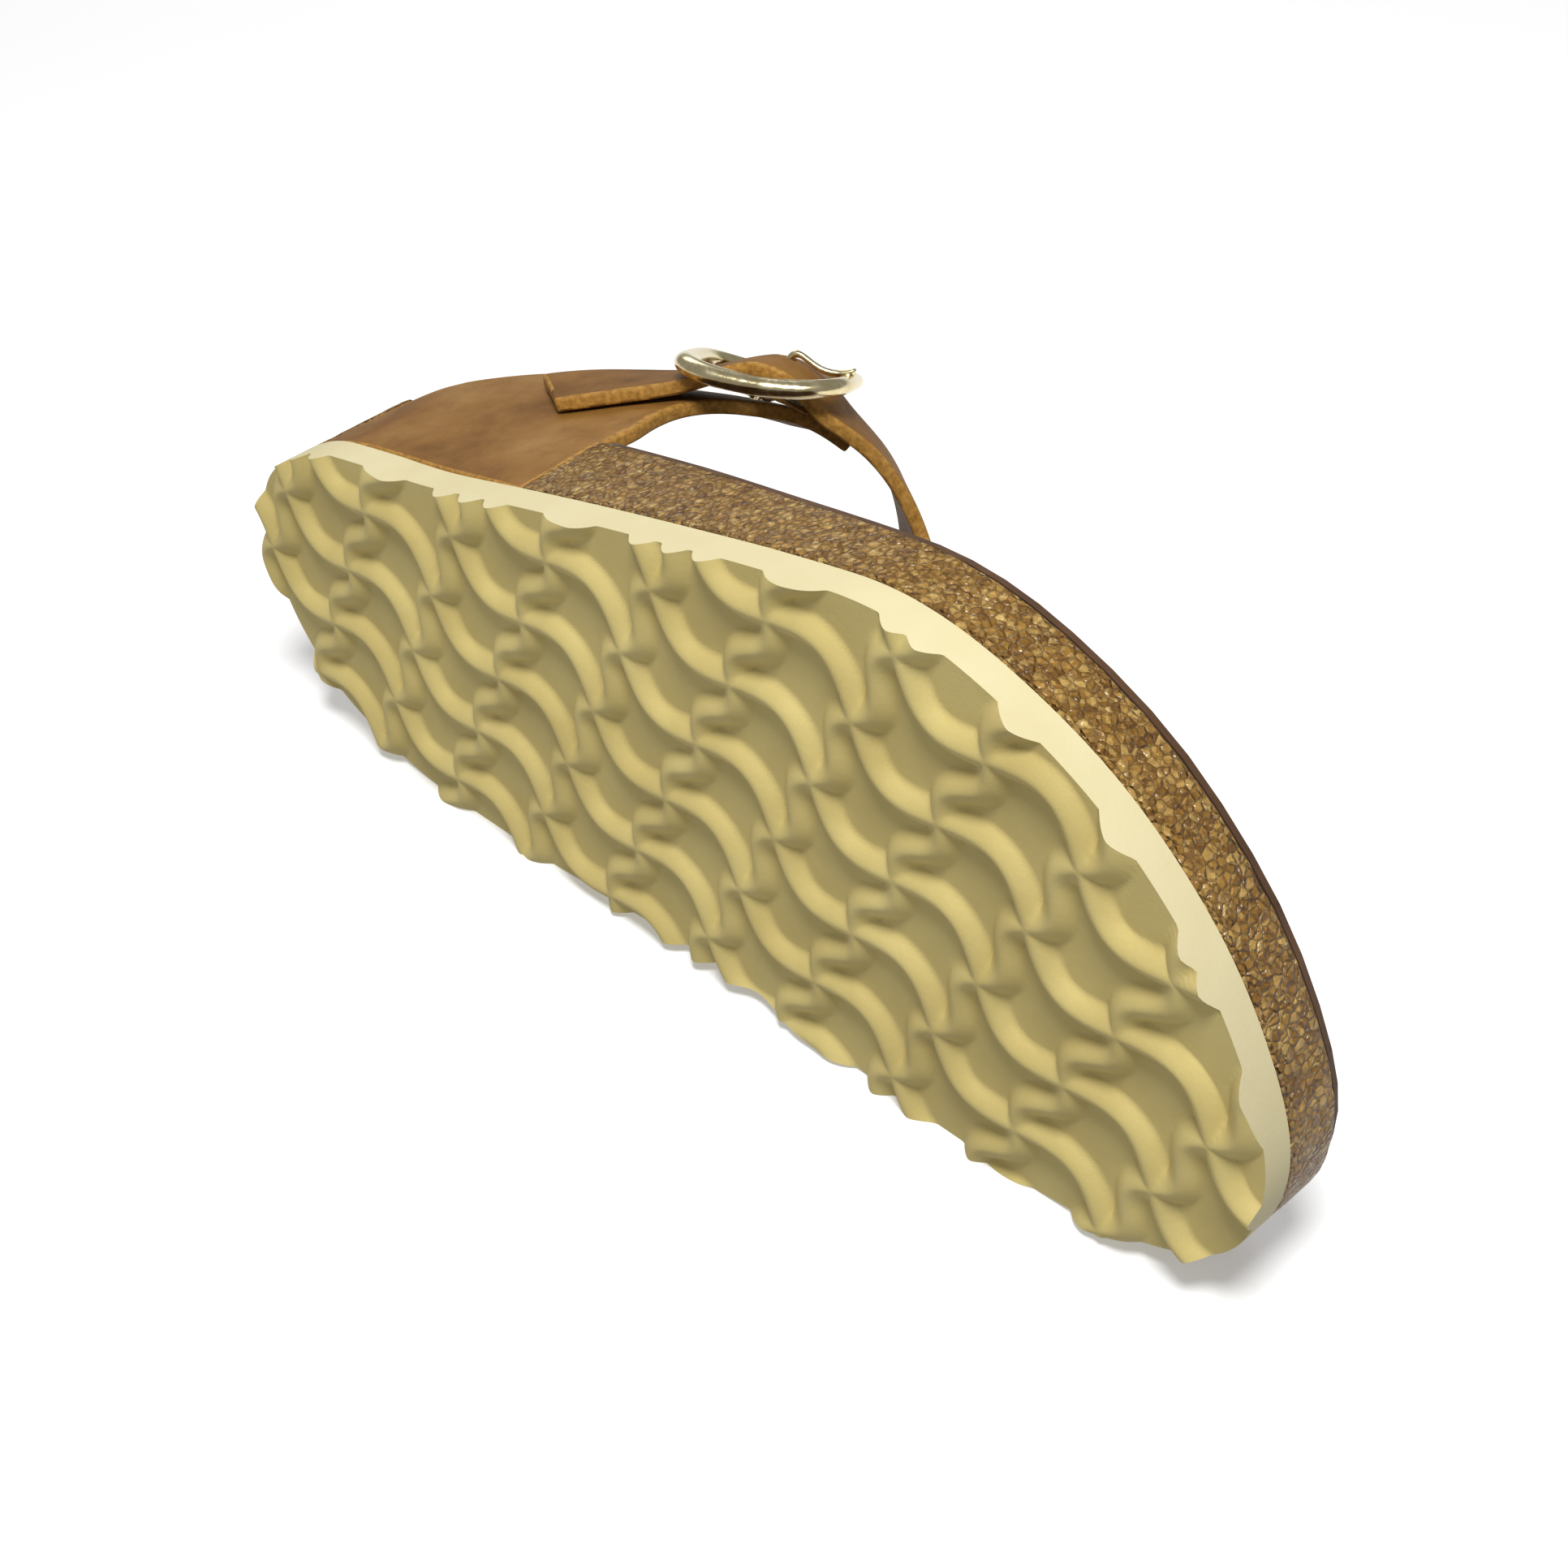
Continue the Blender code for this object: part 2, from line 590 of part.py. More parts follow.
def make_buckle(brass, leather):
    steps = 32
    ring = []
    for step in range(steps):
        turn = tau * step / steps
        power = 2 / BUCKLE["power"]
        along = abs(cos(turn)) ** power * (1 if cos(turn) > 0 else -1)
        across = abs(sin(turn)) ** power * (1 if sin(turn) > 0 else -1)
        sag = FRAME_SAG * (1 - along * along)
        ring.append((along * BUCKLE["half_length"], across * BUCKLE["half_width"], -sag / FRAME_FLAT))
    lift = Matrix.Translation((0.0, 0.0, FRAME_LIFT * MM))
    shape = wire("frame wire", ring, FRAME_WIRE, closed=True)
    flat = BUCKLE_SPACE @ lift @ Matrix.Diagonal((1.0, 1.0, FRAME_FLAT, 1.0))
    bmesh.ops.transform(shape, matrix=flat, verts=shape.verts)
    frame = add_object("buckle_frame", shape, brass, PARTS)
    bar = bmesh.new()
    bmesh.ops.create_cone(
        bar, cap_ends=True, segments=12, radius1=BAR_RADIUS * MM, radius2=BAR_RADIUS * MM,
        depth=2 * BUCKLE["half_width"] * MM,
    )
    place = Matrix.Translation((0.0, 0.0, BAR_LIFT * MM)) @ Matrix.Rotation(pi / 2, 4, "X")
    bmesh.ops.transform(bar, matrix=BUCKLE_SPACE @ place, verts=bar.verts)
    boolean(frame, add_cutter("centre bar", bar), "UNION")

    hook = BAR_RADIUS + GAP + PRONG_WIRE
    path = [
        (hook * cos(radians(turn)), 0.0, BAR_LIFT + hook * sin(radians(turn)))
        for turn in range(-200, 1, 20)
    ]
    top = FRAME_LIFT + FRAME_WIRE * FRAME_FLAT + PRONG_WIRE + GAP
    bends = [path[-1], (2.3, 0.0, 5.4), (3.2, 0.0, 8.8), (5.2, 0.0, 9.9), (9.4, 0.0, 9.0), (15.4, 0.0, top)]
    shape = wire("prong wire", path + spline(bends, 3)[1:], PRONG_WIRE)
    bmesh.ops.transform(shape, matrix=BUCKLE_SPACE, verts=shape.verts)
    add_object("buckle_prong", shape, brass, PARTS)

    tab = add_object("buckle_tab", tab_shape(), leather, PARTS)
    room = bmesh.new()
    bmesh.ops.create_cube(room, size=1.0)
    size = Vector((10.0, 2 * (PRONG_WIRE + 0.8), 9.0)) * MM
    place = Vector((0.0, 0.0, BAR_LIFT)) * MM
    bmesh.ops.transform(room, matrix=BUCKLE_SPACE @ Matrix.LocRotScale(place, None, size), verts=room.verts)
    boolean(tab, add_cutter("prong room", room))


def tab_shape():
    """The folded tab: a loop round the centre bar, and a tail glued down on the outer wing."""
    middle = BAR_RADIUS + GAP + TAB_THICK / 2
    line = []
    for ahead in (1.6, 1.3, 0.9):
        place = BUCKLE_SPACE.inverted() @ shoe(*strap_middle(BUCKLE_ROW + ahead)[0]) / MM
        line.append(Vector((place.x, place.z + TAB_THICK / 2 + 2 * GAP)))
    line.append(Vector((3.2, 1.3)))
    for turn in range(-30, 271, 20):
        line.append(Vector((middle * cos(radians(turn)), BAR_LIFT + middle * sin(radians(turn)))))
    left, right = [], []
    for number, place in enumerate(line):
        ahead = line[min(number + 1, len(line) - 1)] - line[max(number - 1, 0)]
        side = Vector((-ahead.y, ahead.x)).normalized() * TAB_THICK / 2
        left.append(place + side)
        right.append(place - side)
    rings = []
    for across in (-TAB_WIDTH / 2, TAB_WIDTH / 2):
        outline = [Vector((place.x, across, place.y)) * MM for place in left + right[::-1]]
        rings.append([BUCKLE_SPACE @ place for place in outline])
    return stack(rings)


def lay_down():
    """Turns the shoe onto its inner side, its heel and ball on the floor, and centres it."""
    rest = Matrix.Rotation(LEAN, 4, "Y") @ Matrix.Rotation(-pi / 2, 4, "X")
    LYING.matrix_world = rest
    bpy.context.view_layer.update()
    graph = bpy.context.evaluated_depsgraph_get()
    corners = []
    for part in PARTS.objects:
        if part == LYING:
            continue
        solid = part.evaluated_get(graph)
        corners += [solid.matrix_world @ vertex.co for vertex in solid.data.vertices]
    low = Vector([min(corner[axis] for corner in corners) for axis in range(3)])
    high = Vector([max(corner[axis] for corner in corners) for axis in range(3)])
    middle = (low + high) / 2
    LYING.location = (-middle.x, -middle.y, -low.z)


for old in list(bpy.data.objects):
    bpy.data.objects.remove(old)
PARTS = bpy.data.collections.new("cork_footbed_sandal")
CUTTERS = bpy.data.collections.new("cutters")
for group in (PARTS, CUTTERS):
    bpy.context.scene.collection.children.link(group)
LYING = bpy.data.objects.new("lying shoe", None)
PARTS.objects.link(LYING)
BUCKLE_SPACE = buckle_space()

oiled_leather = material("oiled leather", (0.36, 0.17, 0.055), 0.55)
brass = material("pale brass", (0.78, 0.66, 0.36), 0.22, 1.0)
make_outsole()
make_footbed()
make_straps(oiled_leather)
make_buckle(brass, oiled_leather)
lay_down()
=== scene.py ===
# %% [markdown]
# A cork footbed sandal lies on its inner side and shows its moulded sole. This lesson dresses
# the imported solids: a fine tread, cork granules under varnish, oiled leather and a pale brass
# buckle, each in cells of its own. The solids come first, because every piece is fitted to them.

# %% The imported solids
from functools import lru_cache
from math import cos, pi, radians, sin, tau

import bmesh
import bpy
from mathutils import Matrix, Vector, noise
from mathutils.geometry import interpolate_bezier
from mathutils.kdtree import KDTree


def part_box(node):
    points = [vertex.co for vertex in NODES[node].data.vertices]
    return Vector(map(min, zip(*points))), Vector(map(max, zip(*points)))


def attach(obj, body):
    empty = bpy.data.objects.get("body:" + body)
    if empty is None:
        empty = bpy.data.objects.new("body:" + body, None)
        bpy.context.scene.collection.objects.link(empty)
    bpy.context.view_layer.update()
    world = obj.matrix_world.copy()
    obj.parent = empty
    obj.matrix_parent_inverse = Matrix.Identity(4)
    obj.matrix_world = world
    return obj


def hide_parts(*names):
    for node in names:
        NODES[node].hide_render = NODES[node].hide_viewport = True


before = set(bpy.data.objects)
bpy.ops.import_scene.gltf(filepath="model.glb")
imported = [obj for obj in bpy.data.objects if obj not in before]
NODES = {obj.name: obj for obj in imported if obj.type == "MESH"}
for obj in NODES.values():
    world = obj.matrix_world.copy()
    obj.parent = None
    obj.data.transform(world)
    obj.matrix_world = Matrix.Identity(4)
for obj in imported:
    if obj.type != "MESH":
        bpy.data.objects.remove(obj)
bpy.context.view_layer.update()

print("solids:", ", ".join(sorted(NODES)))

# %% [markdown]
# The shoe lies on its side and leans a little lengthways. Its tread could be drawn as it lies,
# but it is easier to plan on a shoe that stands: a length from the heel and a distance towards
# the foot's outer side, both in millimetres. One matrix then lays that plan down as the shoe lies.

# %% The shoe's own axes
MM = 0.001
LEAN = radians(1.836)
HEEL_X = -0.12351
FLOOR_SIDE = 0.03845
TREAD_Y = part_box("outsole")[0][1]
LYING = (
    Matrix.Translation((HEEL_X, TREAD_Y, FLOOR_SIDE))
    @ Matrix.Rotation(LEAN, 4, "Y")
    @ Matrix.Rotation(-pi / 2, 4, "X")
)
STANDING = LYING.inverted()


def shoe(x, side, z):
    """A place in the shoe's own millimetres, in the world's metres."""
    return LYING @ (Vector((x, -side, z)) * MM)


print("heel at", [round(value, 4) for value in shoe(0, 0, 0)])

# %% [markdown]
# Every finish is built from the same few nodes, so small helpers keep the later cells short.
# Painted images would need a map for each piece. Noise on Object coordinates needs none, and
# stays put because each piece keeps its place in its mesh. Its scale counts cells per metre.

# %% Helpers for patterns
def finish(name, roughness, metallic=0.0, **sockets):
    """A new material with its node tree, its shader, and its Object coordinates."""
    made = bpy.data.materials.new(name)
    made.use_nodes = True
    tree = made.node_tree
    shader = tree.nodes["Principled BSDF"]
    shader.inputs["Roughness"].default_value = roughness
    shader.inputs["Metallic"].default_value = metallic
    for socket, value in sockets.items():
        shader.inputs[socket.replace("_", " ")].default_value = value
    place = tree.nodes.new("ShaderNodeTexCoord").outputs["Object"]
    return made, tree, shader, place


def clouds(tree, place, scale, detail=4.0, rough=0.55):
    """Soft noise, as its factor output."""
    node = tree.nodes.new("ShaderNodeTexNoise")
    node.inputs["Scale"].default_value = scale
    node.inputs["Detail"].default_value = detail
    node.inputs["Roughness"].default_value = rough
    tree.links.new(place, node.inputs["Vector"])
    return node.outputs["Fac"]


def cells(tree, place, scale, feature="F1", output="Distance"):
    """Cells round scattered points."""
    node = tree.nodes.new("ShaderNodeTexVoronoi")
    node.feature = feature
    node.inputs["Scale"].default_value = scale
    tree.links.new(place, node.inputs["Vector"])
    return node.outputs[output]


def marked(tree, name):
    """A mark that the mesh carries on its faces, as a factor output."""
    node = tree.nodes.new("ShaderNodeAttribute")
    node.attribute_name = name
    return node.outputs["Fac"]


print("pattern helpers ready")

# %% [markdown]
# A pattern is only a number from 0 to 1. These helpers turn it into a colour, a mixture of
# colours, another range of numbers, or small hills and hollows in the way light falls.

# %% Helpers for colour and relief
MIX_SOCKETS = (0, 6, 7)
MIXED = 2


def ramp(tree, factor, stops):
    """Colours along a factor, from (position, colour) stops."""
    node = tree.nodes.new("ShaderNodeValToRGB")
    elements = node.color_ramp.elements
    while len(elements) < len(stops):
        elements.new(0.5)
    for element, (position, colour) in zip(elements, stops):
        element.position = position
        element.color = (*colour, 1.0)
    tree.links.new(factor, node.inputs["Fac"])
    return node.outputs["Color"]


def mix(tree, factor, first, second):
    """Two colours mixed by a factor, each a socket or a plain value."""
    node = tree.nodes.new("ShaderNodeMix")
    node.data_type = "RGBA"
    for socket, value in zip(MIX_SOCKETS, (factor, first, second)):
        if isinstance(value, (int, float)):
            node.inputs[socket].default_value = value
        elif isinstance(value, tuple):
            node.inputs[socket].default_value = (*value, 1.0)
        else:
            tree.links.new(value, node.inputs[socket])
    return node.outputs[MIXED]


def channel(tree, colour, name):
    """One channel of a colour, which differs from cell to cell in a pattern of cells."""
    node = tree.nodes.new("ShaderNodeSeparateColor")
    tree.links.new(colour, node.inputs["Color"])
    return node.outputs[name]


def map_range(tree, value, low, high, to_low=0.0, to_high=1.0):
    """A number carried from one range to another, and kept inside it."""
    node = tree.nodes.new("ShaderNodeMapRange")
    node.inputs["From Min"].default_value = low
    node.inputs["From Max"].default_value = high
    node.inputs["To Min"].default_value = to_low
    node.inputs["To Max"].default_value = to_high
    tree.links.new(value, node.inputs["Value"])
    return node.outputs["Result"]


def bump(tree, shader, heights):
    """Chains bumps, given as (height socket, strength, depth in metres), into the shader."""
    normal = None
    for height, strength, depth in heights:
        node = tree.nodes.new("ShaderNodeBump")
        node.inputs["Strength"].default_value = strength
        node.inputs["Distance"].default_value = depth
        tree.links.new(height, node.inputs["Height"])
        if normal:
            tree.links.new(normal, node.inputs["Normal"])
        normal = node.outputs["Normal"]
    tree.links.new(normal, shader.inputs["Normal"])
    return normal


print("colour and relief helpers ready")

# %% [markdown]
# The sole is moulded EVA foam: cream, matt and faintly mottled, with tiny closed pores. Its
# tread is painted darker and yellower than its wall, as painted shade for the dimmer light on
# the tread's faces, and patches of dirt lie over the tread. Two materials would need a seam
# between them, so one material holds both looks and a mark on the tread's faces chooses.

# %% EVA foam
WALL_FOAM = [(0.3, (0.74, 0.65, 0.37)), (0.7, (0.80, 0.71, 0.43))]
# The tread's ramp is darker and yellower than the wall's: it is painted shade.
SHADED_TREAD_FOAM = [(0.3, (0.64, 0.510, 0.185)), (0.7, (0.75, 0.615, 0.240))]
FOAM_DIRT = (0.53, 0.41, 0.14)
MOTTLE_SCALE = 60.0
DIRT_SCALE = 22.0
PORE_SCALE = 1500.0


def eva_foam():
    made, tree, shader, place = finish("EVA foam", 0.62, Specular_IOR_Level=0.35)
    mottle = clouds(tree, place, MOTTLE_SCALE, 5.0)
    dirt = map_range(tree, clouds(tree, place, DIRT_SCALE, 6.0, 0.65), 0.52, 0.72, 0.0, 0.35)
    # The tread's colour is painted shade, with patches of dirt over it.
    patchy_tone = mix(tree, dirt, ramp(tree, mottle, SHADED_TREAD_FOAM), FOAM_DIRT)
    colour = mix(tree, marked(tree, "tread"), ramp(tree, mottle, WALL_FOAM), patchy_tone)
    tree.links.new(colour, shader.inputs["Base Color"])
    bump(tree, shader, [(mottle, 0.15, 0.0006), (cells(tree, place, PORE_SCALE), 0.18, 0.00012)])
    return made


EVA = eva_foam()
print(EVA.name)

# %% [markdown]
# The cork is crumbled bark glued with latex: granules of a millimetre or two in many browns,
# dark gaps between them, and a thin varnish over all. Loose granules would be far too many
# pieces, so two sizes of cells, 1.4 and 0.7 mm, give each granule its own brown and its own
# rounding. The varnish is the shader's coat, and follows the same bumps.

# %% Varnished cork
LARGE_GRANULES = 700.0
SMALL_GRANULES = 1400.0
BARK_SCALE = 260.0
SMALL_SHARE = 0.45
CORK_BROWNS = [
    (0.0, (0.118, 0.048, 0.008)),
    (0.35, (0.250, 0.122, 0.020)),
    (0.7, (0.38, 0.205, 0.042)),
    (1.0, (0.66, 0.44, 0.140)),
]
GAP_BROWN = (0.075, 0.035, 0.013)


def varnished_cork():
    made, tree, shader, place = finish(
        "varnished cork", 0.5, Specular_IOR_Level=0.2, Coat_Weight=0.3, Coat_Roughness=0.12
    )
    large = channel(tree, cells(tree, place, LARGE_GRANULES, output="Color"), "Red")
    small = channel(tree, cells(tree, place, SMALL_GRANULES, output="Color"), "Green")
    browns = [ramp(tree, granules, CORK_BROWNS) for granules in (large, small)]
    gaps = cells(tree, place, LARGE_GRANULES, feature="DISTANCE_TO_EDGE")
    edge = map_range(tree, gaps, 0.0, 0.09, 0.55, 0.0)
    colour = mix(tree, edge, mix(tree, SMALL_SHARE, *browns), GAP_BROWN)
    tree.links.new(colour, shader.inputs["Base Color"])
    normal = bump(tree, shader, [
        (map_range(tree, gaps, 0.0, 0.25), 0.75, 0.0006),
        (cells(tree, place, SMALL_GRANULES), 0.4, 0.0004),
        (clouds(tree, place, BARK_SCALE), 0.35, 0.0006),
    ])
    tree.links.new(normal, shader.inputs["Coat Normal"])
    return made


CORK = varnished_cork()
print(CORK.name)

# %% [markdown]
# The straps are thick oiled leather: warm tan, darker where it is rubbed and bent, with a fine
# pebbled grain. Their cut edges are raw, orange-tan and fibrous. The edges could be pieces of
# their own, but then a seam would show, so each strap marks its cut faces and the finish
# changes there.

# %% Oiled leather
TANS = [
    (0.30, (0.130, 0.053, 0.010)),
    (0.50, (0.268, 0.124, 0.024)),
    (0.72, (0.370, 0.192, 0.048)),
]
RUBBED_TAN = (0.150, 0.066, 0.012)
RAW_EDGE = [(0.3, (0.28, 0.130, 0.022)), (0.75, (0.56, 0.30, 0.065))]
TAN_SCALE = 38.0
STREAK_SCALE = 190.0
FIBRE_SCALE = 900.0
GRAIN_SCALE = 1300.0


def oiled_leather():
    made, tree, shader, place = finish("oiled leather", 0.6, Specular_IOR_Level=0.22)
    cloud = clouds(tree, place, TAN_SCALE, 6.0, 0.6)
    streak = clouds(tree, place, STREAK_SCALE, 5.0, 0.7)
    fibre = clouds(tree, place, FIBRE_SCALE, 3.0)
    rubbed = map_range(tree, streak, 0.5, 0.75, 0.0, 0.4)
    face = mix(tree, rubbed, ramp(tree, cloud, TANS), RUBBED_TAN)
    colour = mix(tree, marked(tree, "cut_edge"), face, ramp(tree, fibre, RAW_EDGE))
    tree.links.new(colour, shader.inputs["Base Color"])
    tree.links.new(map_range(tree, cloud, 0.3, 0.7, 0.68, 0.54), shader.inputs["Roughness"])
    grain = cells(tree, place, GRAIN_SCALE, feature="SMOOTH_F1")
    bump(tree, shader, [(streak, 0.3, 0.0005), (grain, 0.4, 0.00022), (fibre, 0.2, 0.0002)])
    return made


LEATHER = oiled_leather()
print(LEATHER.name)

# %% [markdown]
# The buckle is pale brass with a soft, uneven polish. A plain metal would mirror the room like
# new, so one noise changes its colour, its roughness and its surface a little.

# %% Pale brass
BRASSES = [(0.3, (0.64, 0.52, 0.26)), (0.7, (0.90, 0.80, 0.52))]
POLISH_SCALE = 300.0


def pale_brass():
    made, tree, shader, place = finish("pale brass", 0.2, 1.0)
    patchy_tone = clouds(tree, place, POLISH_SCALE, 5.0)
    tree.links.new(ramp(tree, patchy_tone, BRASSES), shader.inputs["Base Color"])
    tree.links.new(map_range(tree, patchy_tone, 0.35, 0.7, 0.14, 0.32), shader.inputs["Roughness"])
    bump(tree, shader, [(patchy_tone, 0.25, 0.0004)])
    return made


BRASS = pale_brass()
print(BRASS.name)

# %% [markdown]
# The footbed is lined with brown suede. Its nap could be grown as hair, which is slow and is
# lost from the exported model, so a little sheen catches the light at its edge instead, over a
# very fine bump.

# %% Brown suede
SUEDE_BROWNS = [(0.3, (0.066, 0.031, 0.014)), (0.7, (0.150, 0.078, 0.038))]
PATCH_SCALE = 60.0
NAP_SCALE = 2200.0


def brown_suede():
    made, tree, shader, place = finish(
        "brown suede", 0.95, Specular_IOR_Level=0.1, Sheen_Weight=0.12, Sheen_Roughness=0.5
    )
    patches = clouds(tree, place, PATCH_SCALE, 8.0, 0.7)
    tree.links.new(ramp(tree, patches, SUEDE_BROWNS), shader.inputs["Base Color"])
    bump(tree, shader, [(clouds(tree, place, NAP_SCALE, 3.0), 0.5, 0.0002)])
    return made


SUEDE = brown_suede()
print(SUEDE.name)

# %% [markdown]
# Each visible piece takes the place of one imported solid, which stays in the physics model. The
# helper makes the piece from its bmesh, smooths it except at its sharp edges, hangs it on the
# body it rides on, gives it its finish and hides the solid it stands for.

# %% A piece that stands for a solid
def add_piece(name, shape, material, slot, *nodes, smooth_under=40.0):
    """Makes a piece that rides on the shoe and stands for the solids named."""
    mesh = bpy.data.meshes.new(name)
    shape.to_mesh(mesh)
    shape.free()
    mesh.shade_smooth()
    mesh.set_sharp_from_angle(angle=radians(smooth_under))
    mesh.materials.append(material)
    piece = bpy.data.objects.new(name, mesh)
    bpy.context.scene.collection.objects.link(piece)
    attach(piece, "root")
    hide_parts(*nodes)
    print(name, len(mesh.vertices), "points")
    return piece


print("piece helper ready")

# %% [markdown]
# The tread is the shoe's face in this view. Long waved ribs run in step along it, crossed by
# short S-shaped links, on a 20 mm lattice that is turned 30 degrees to the shoe. Ribs could be
# swept and joined to a flat sole, but their round section melts into the panels, so the whole
# tread is one height at each place. It depends on the distance to the nearest middle line, which
# a search tree finds among points laid closely along the lines. These reach past the sole on
# all sides.

# %% The tread's plan
RIB_PITCH = 20.0
RIB_WAVE = 5.8
LINK_WAVE = 2.0
TREAD_TURN = radians(-30.0)
TREAD_START = (-123.0, 145.0)
LINE_STEP = 0.01
WAVE_ROWS = range(-2, 11)
WAVE_ENDS = (-9, 7)
LINK_COLUMNS = range(-9, 8)
LINK_ENDS = (-3, 11)


def on_lattice(x, side):
    """A place on the sole as lengths along and across the turned lattice, in mm."""
    along = x * cos(TREAD_TURN) + side * sin(TREAD_TURN) + TREAD_START[0]
    across = x * sin(TREAD_TURN) - side * cos(TREAD_TURN) + TREAD_START[1]
    return Vector((along, across, 0.0))


def steps_between(low, high):
    """Places along a line in pitches of the lattice, a small step apart."""
    return [low + LINE_STEP * step for step in range(round((high - low) / LINE_STEP) + 1)]


def search_tree(places):
    """A tree that finds the nearest of many places quickly."""
    tree = KDTree(len(places))
    for index, place in enumerate(places):
        tree.insert(place, index)
    tree.balance()
    return tree


WAVES = search_tree([
    (RIB_PITCH * along, RIB_PITCH * row + RIB_WAVE * sin(pi * along), 0.0)
    for row in WAVE_ROWS
    for along in steps_between(*WAVE_ENDS)
])
LINKS = search_tree([
    (RIB_PITCH * column - LINK_WAVE * cos(pi * column) * sin(tau * across), RIB_PITCH * across, 0.0)
    for column in LINK_COLUMNS
    for across in steps_between(*LINK_ENDS)
])
print(len(WAVE_ROWS), "waves crossed by", len(LINK_COLUMNS), "lines of links")

# %% [markdown]
# A rib is 2.4 mm high and runs out 3.25 mm from its middle line. A half circle would end in a
# steep step, and a cosine in a soft dune. A power of the distance gives a round top and a foot
# that still meets the panel at a clear line, as in a mould.

# %% The ribs' height
RIB_HEIGHT = 2.4
RIB_HALF = 3.25
RIB_ROUND = 1.5


def rib_profile(distance):
    """Share of the rib's full height at a distance in mm from its middle line."""
    return 1.0 - min(distance / RIB_HALF, 1.0) ** RIB_ROUND


def tread_depth(x, side):
    """How far the tread lies below the ribs' tops, in mm."""
    place = on_lattice(x, side)
    nearest = min(WAVES.find(place)[2], LINKS.find(place)[2])
    return RIB_HEIGHT * (1.0 - rib_profile(nearest))


across_middle = [tread_depth(6 * RIB_PITCH, side) for side in range(round(RIB_PITCH))]
print("deepest in one pitch:", round(max(across_middle), 2), "mm")

# %% [markdown]
# The sole is cut along an outline that bulges on the foot's outer side. Drawing it again here
# could leave a gap to the cork, so it is read from the solid: the ring of points where the sole
# meets the cork. They are sorted into an order that goes round, outer side first.

# %% The sole's outline
SOLE_THICK = 8.0
TOP_WITHIN = 0.05


def sole_outline():
    """The outline's (x, side) points in mm, from the heel to the toe."""
    points = set()
    for vertex in NODES["outsole"].data.vertices:
        place = STANDING @ vertex.co / MM
        if place.z > SOLE_THICK - TOP_WITHIN:
            points.add((round(place.x, 2), round(-place.y, 2)))
    return sorted(points)


def sole_ring():
    """The outline's points in order: out along the outer side and back along the inner."""
    outline = sole_outline()
    heel, toe = outline[0], outline[-1]
    slope = (toe[1] - heel[1]) / (toe[0] - heel[0])
    outer = [place for place in outline if place[1] > heel[1] + slope * (place[0] - heel[0])]
    inner = [place for place in outline if place not in outer]
    return [heel] + outer + [toe] + [place for place in reversed(inner) if place not in (heel, toe)]


RING = sole_ring()
print(len(RING), "points round the solid's outline")

# %% [markdown]
# The solid's outline has few points, and straight lines between them would show as corners in
# the sole's wall. A curve through the points takes them out: each span is a bezier whose handles
# follow its neighbours and reach a third of its own length, so uneven points don't make it swing.

# %% The outline's two edges
SPAN_STEPS = 8
TINY = 1e-6


def rounded_ring(ring):
    """The ring carried smoothly through its points."""
    places = [Vector((*place, 0.0)) for place in ring]
    count = len(places)
    ways = [(places[(index + 1) % count] - places[index - 1]).normalized() for index in range(count)]
    smooth = []
    for index in range(count):
        after = (index + 1) % count
        first, last = places[index], places[after]
        pull = (last - first).length / 3
        handles = first + ways[index] * pull, last - ways[after] * pull
        span = interpolate_bezier(first, *handles, last, SPAN_STEPS + 1)
        smooth += [(place.x, place.y) for place in span[:-1]]
    return smooth


def two_edges(ring):
    """The ring's two halves from heel to toe, the outer one first."""
    start = ring.index(min(ring))
    turned = ring[start:] + ring[:start + 1]
    toe = turned.index(max(turned))
    halves = [turned[:toe + 1], turned[toe:][::-1]]
    return sorted(halves, key=lambda half: -sum(place[1] for place in half) / len(half))


OUTER_EDGE, INNER_EDGE = two_edges(rounded_ring(RING))
HEEL_TIP = OUTER_EDGE[0][0]
TOE_TIP = OUTER_EDGE[-1][0]


def edge_of(points, x):
    """The side of an edge at a length x."""
    for low, high in zip(points, points[1:]):
        if low[0] <= x <= high[0]:
            t = (x - low[0]) / max(high[0] - low[0], TINY)
            return low[1] + (high[1] - low[1]) * t
    return points[0][1] if x < points[0][0] else points[-1][1]


@lru_cache(maxsize=None)
def sides_at(x):
    """The inner and the outer side of the sole at a length x, kept for the whole row."""
    return edge_of(INNER_EDGE, x), edge_of(OUTER_EDGE, x)


print(len(OUTER_EDGE), "points outside,", len(INNER_EDGE), "inside, length", round(TOE_TIP - HEEL_TIP, 1))

# %% [markdown]
# A square grid that is cut along the outline would have a ragged edge. This one starts as an
# operator's plane, and each point slides to its place between the two edges, with rows closer
# together at the heel and the toe. Then it sinks to the tread's depth.

# %% The tread's grid
LENGTH_STEPS = 490
WIDTH_STEPS = 190
TIP_SHARE = 0.1
HALF_GRID = 0.5


def eased(t):
    """Even steps from 0 to 1 that shrink towards both ends."""
    if t > 0.5:
        return 1.0 - eased(1.0 - t)
    if t < TIP_SHARE:
        return t * t / (2.0 * TIP_SHARE) / (1.0 - TIP_SHARE)
    return (t - TIP_SHARE / 2.0) / (1.0 - TIP_SHARE)


def tread_grid():
    shape = bmesh.new()
    bmesh.ops.create_grid(shape, x_segments=LENGTH_STEPS, y_segments=WIDTH_STEPS, size=HALF_GRID)
    for vertex in shape.verts:
        x = HEEL_TIP + (TOE_TIP - HEEL_TIP) * eased(vertex.co.x + HALF_GRID)
        inner, outer = sides_at(x)
        side = inner + (outer - inner) * (vertex.co.y + HALF_GRID)
        vertex.co = shoe(x, side, tread_depth(x, side))
    return shape


print("grid of", LENGTH_STEPS, "by", WIDTH_STEPS, "steps")

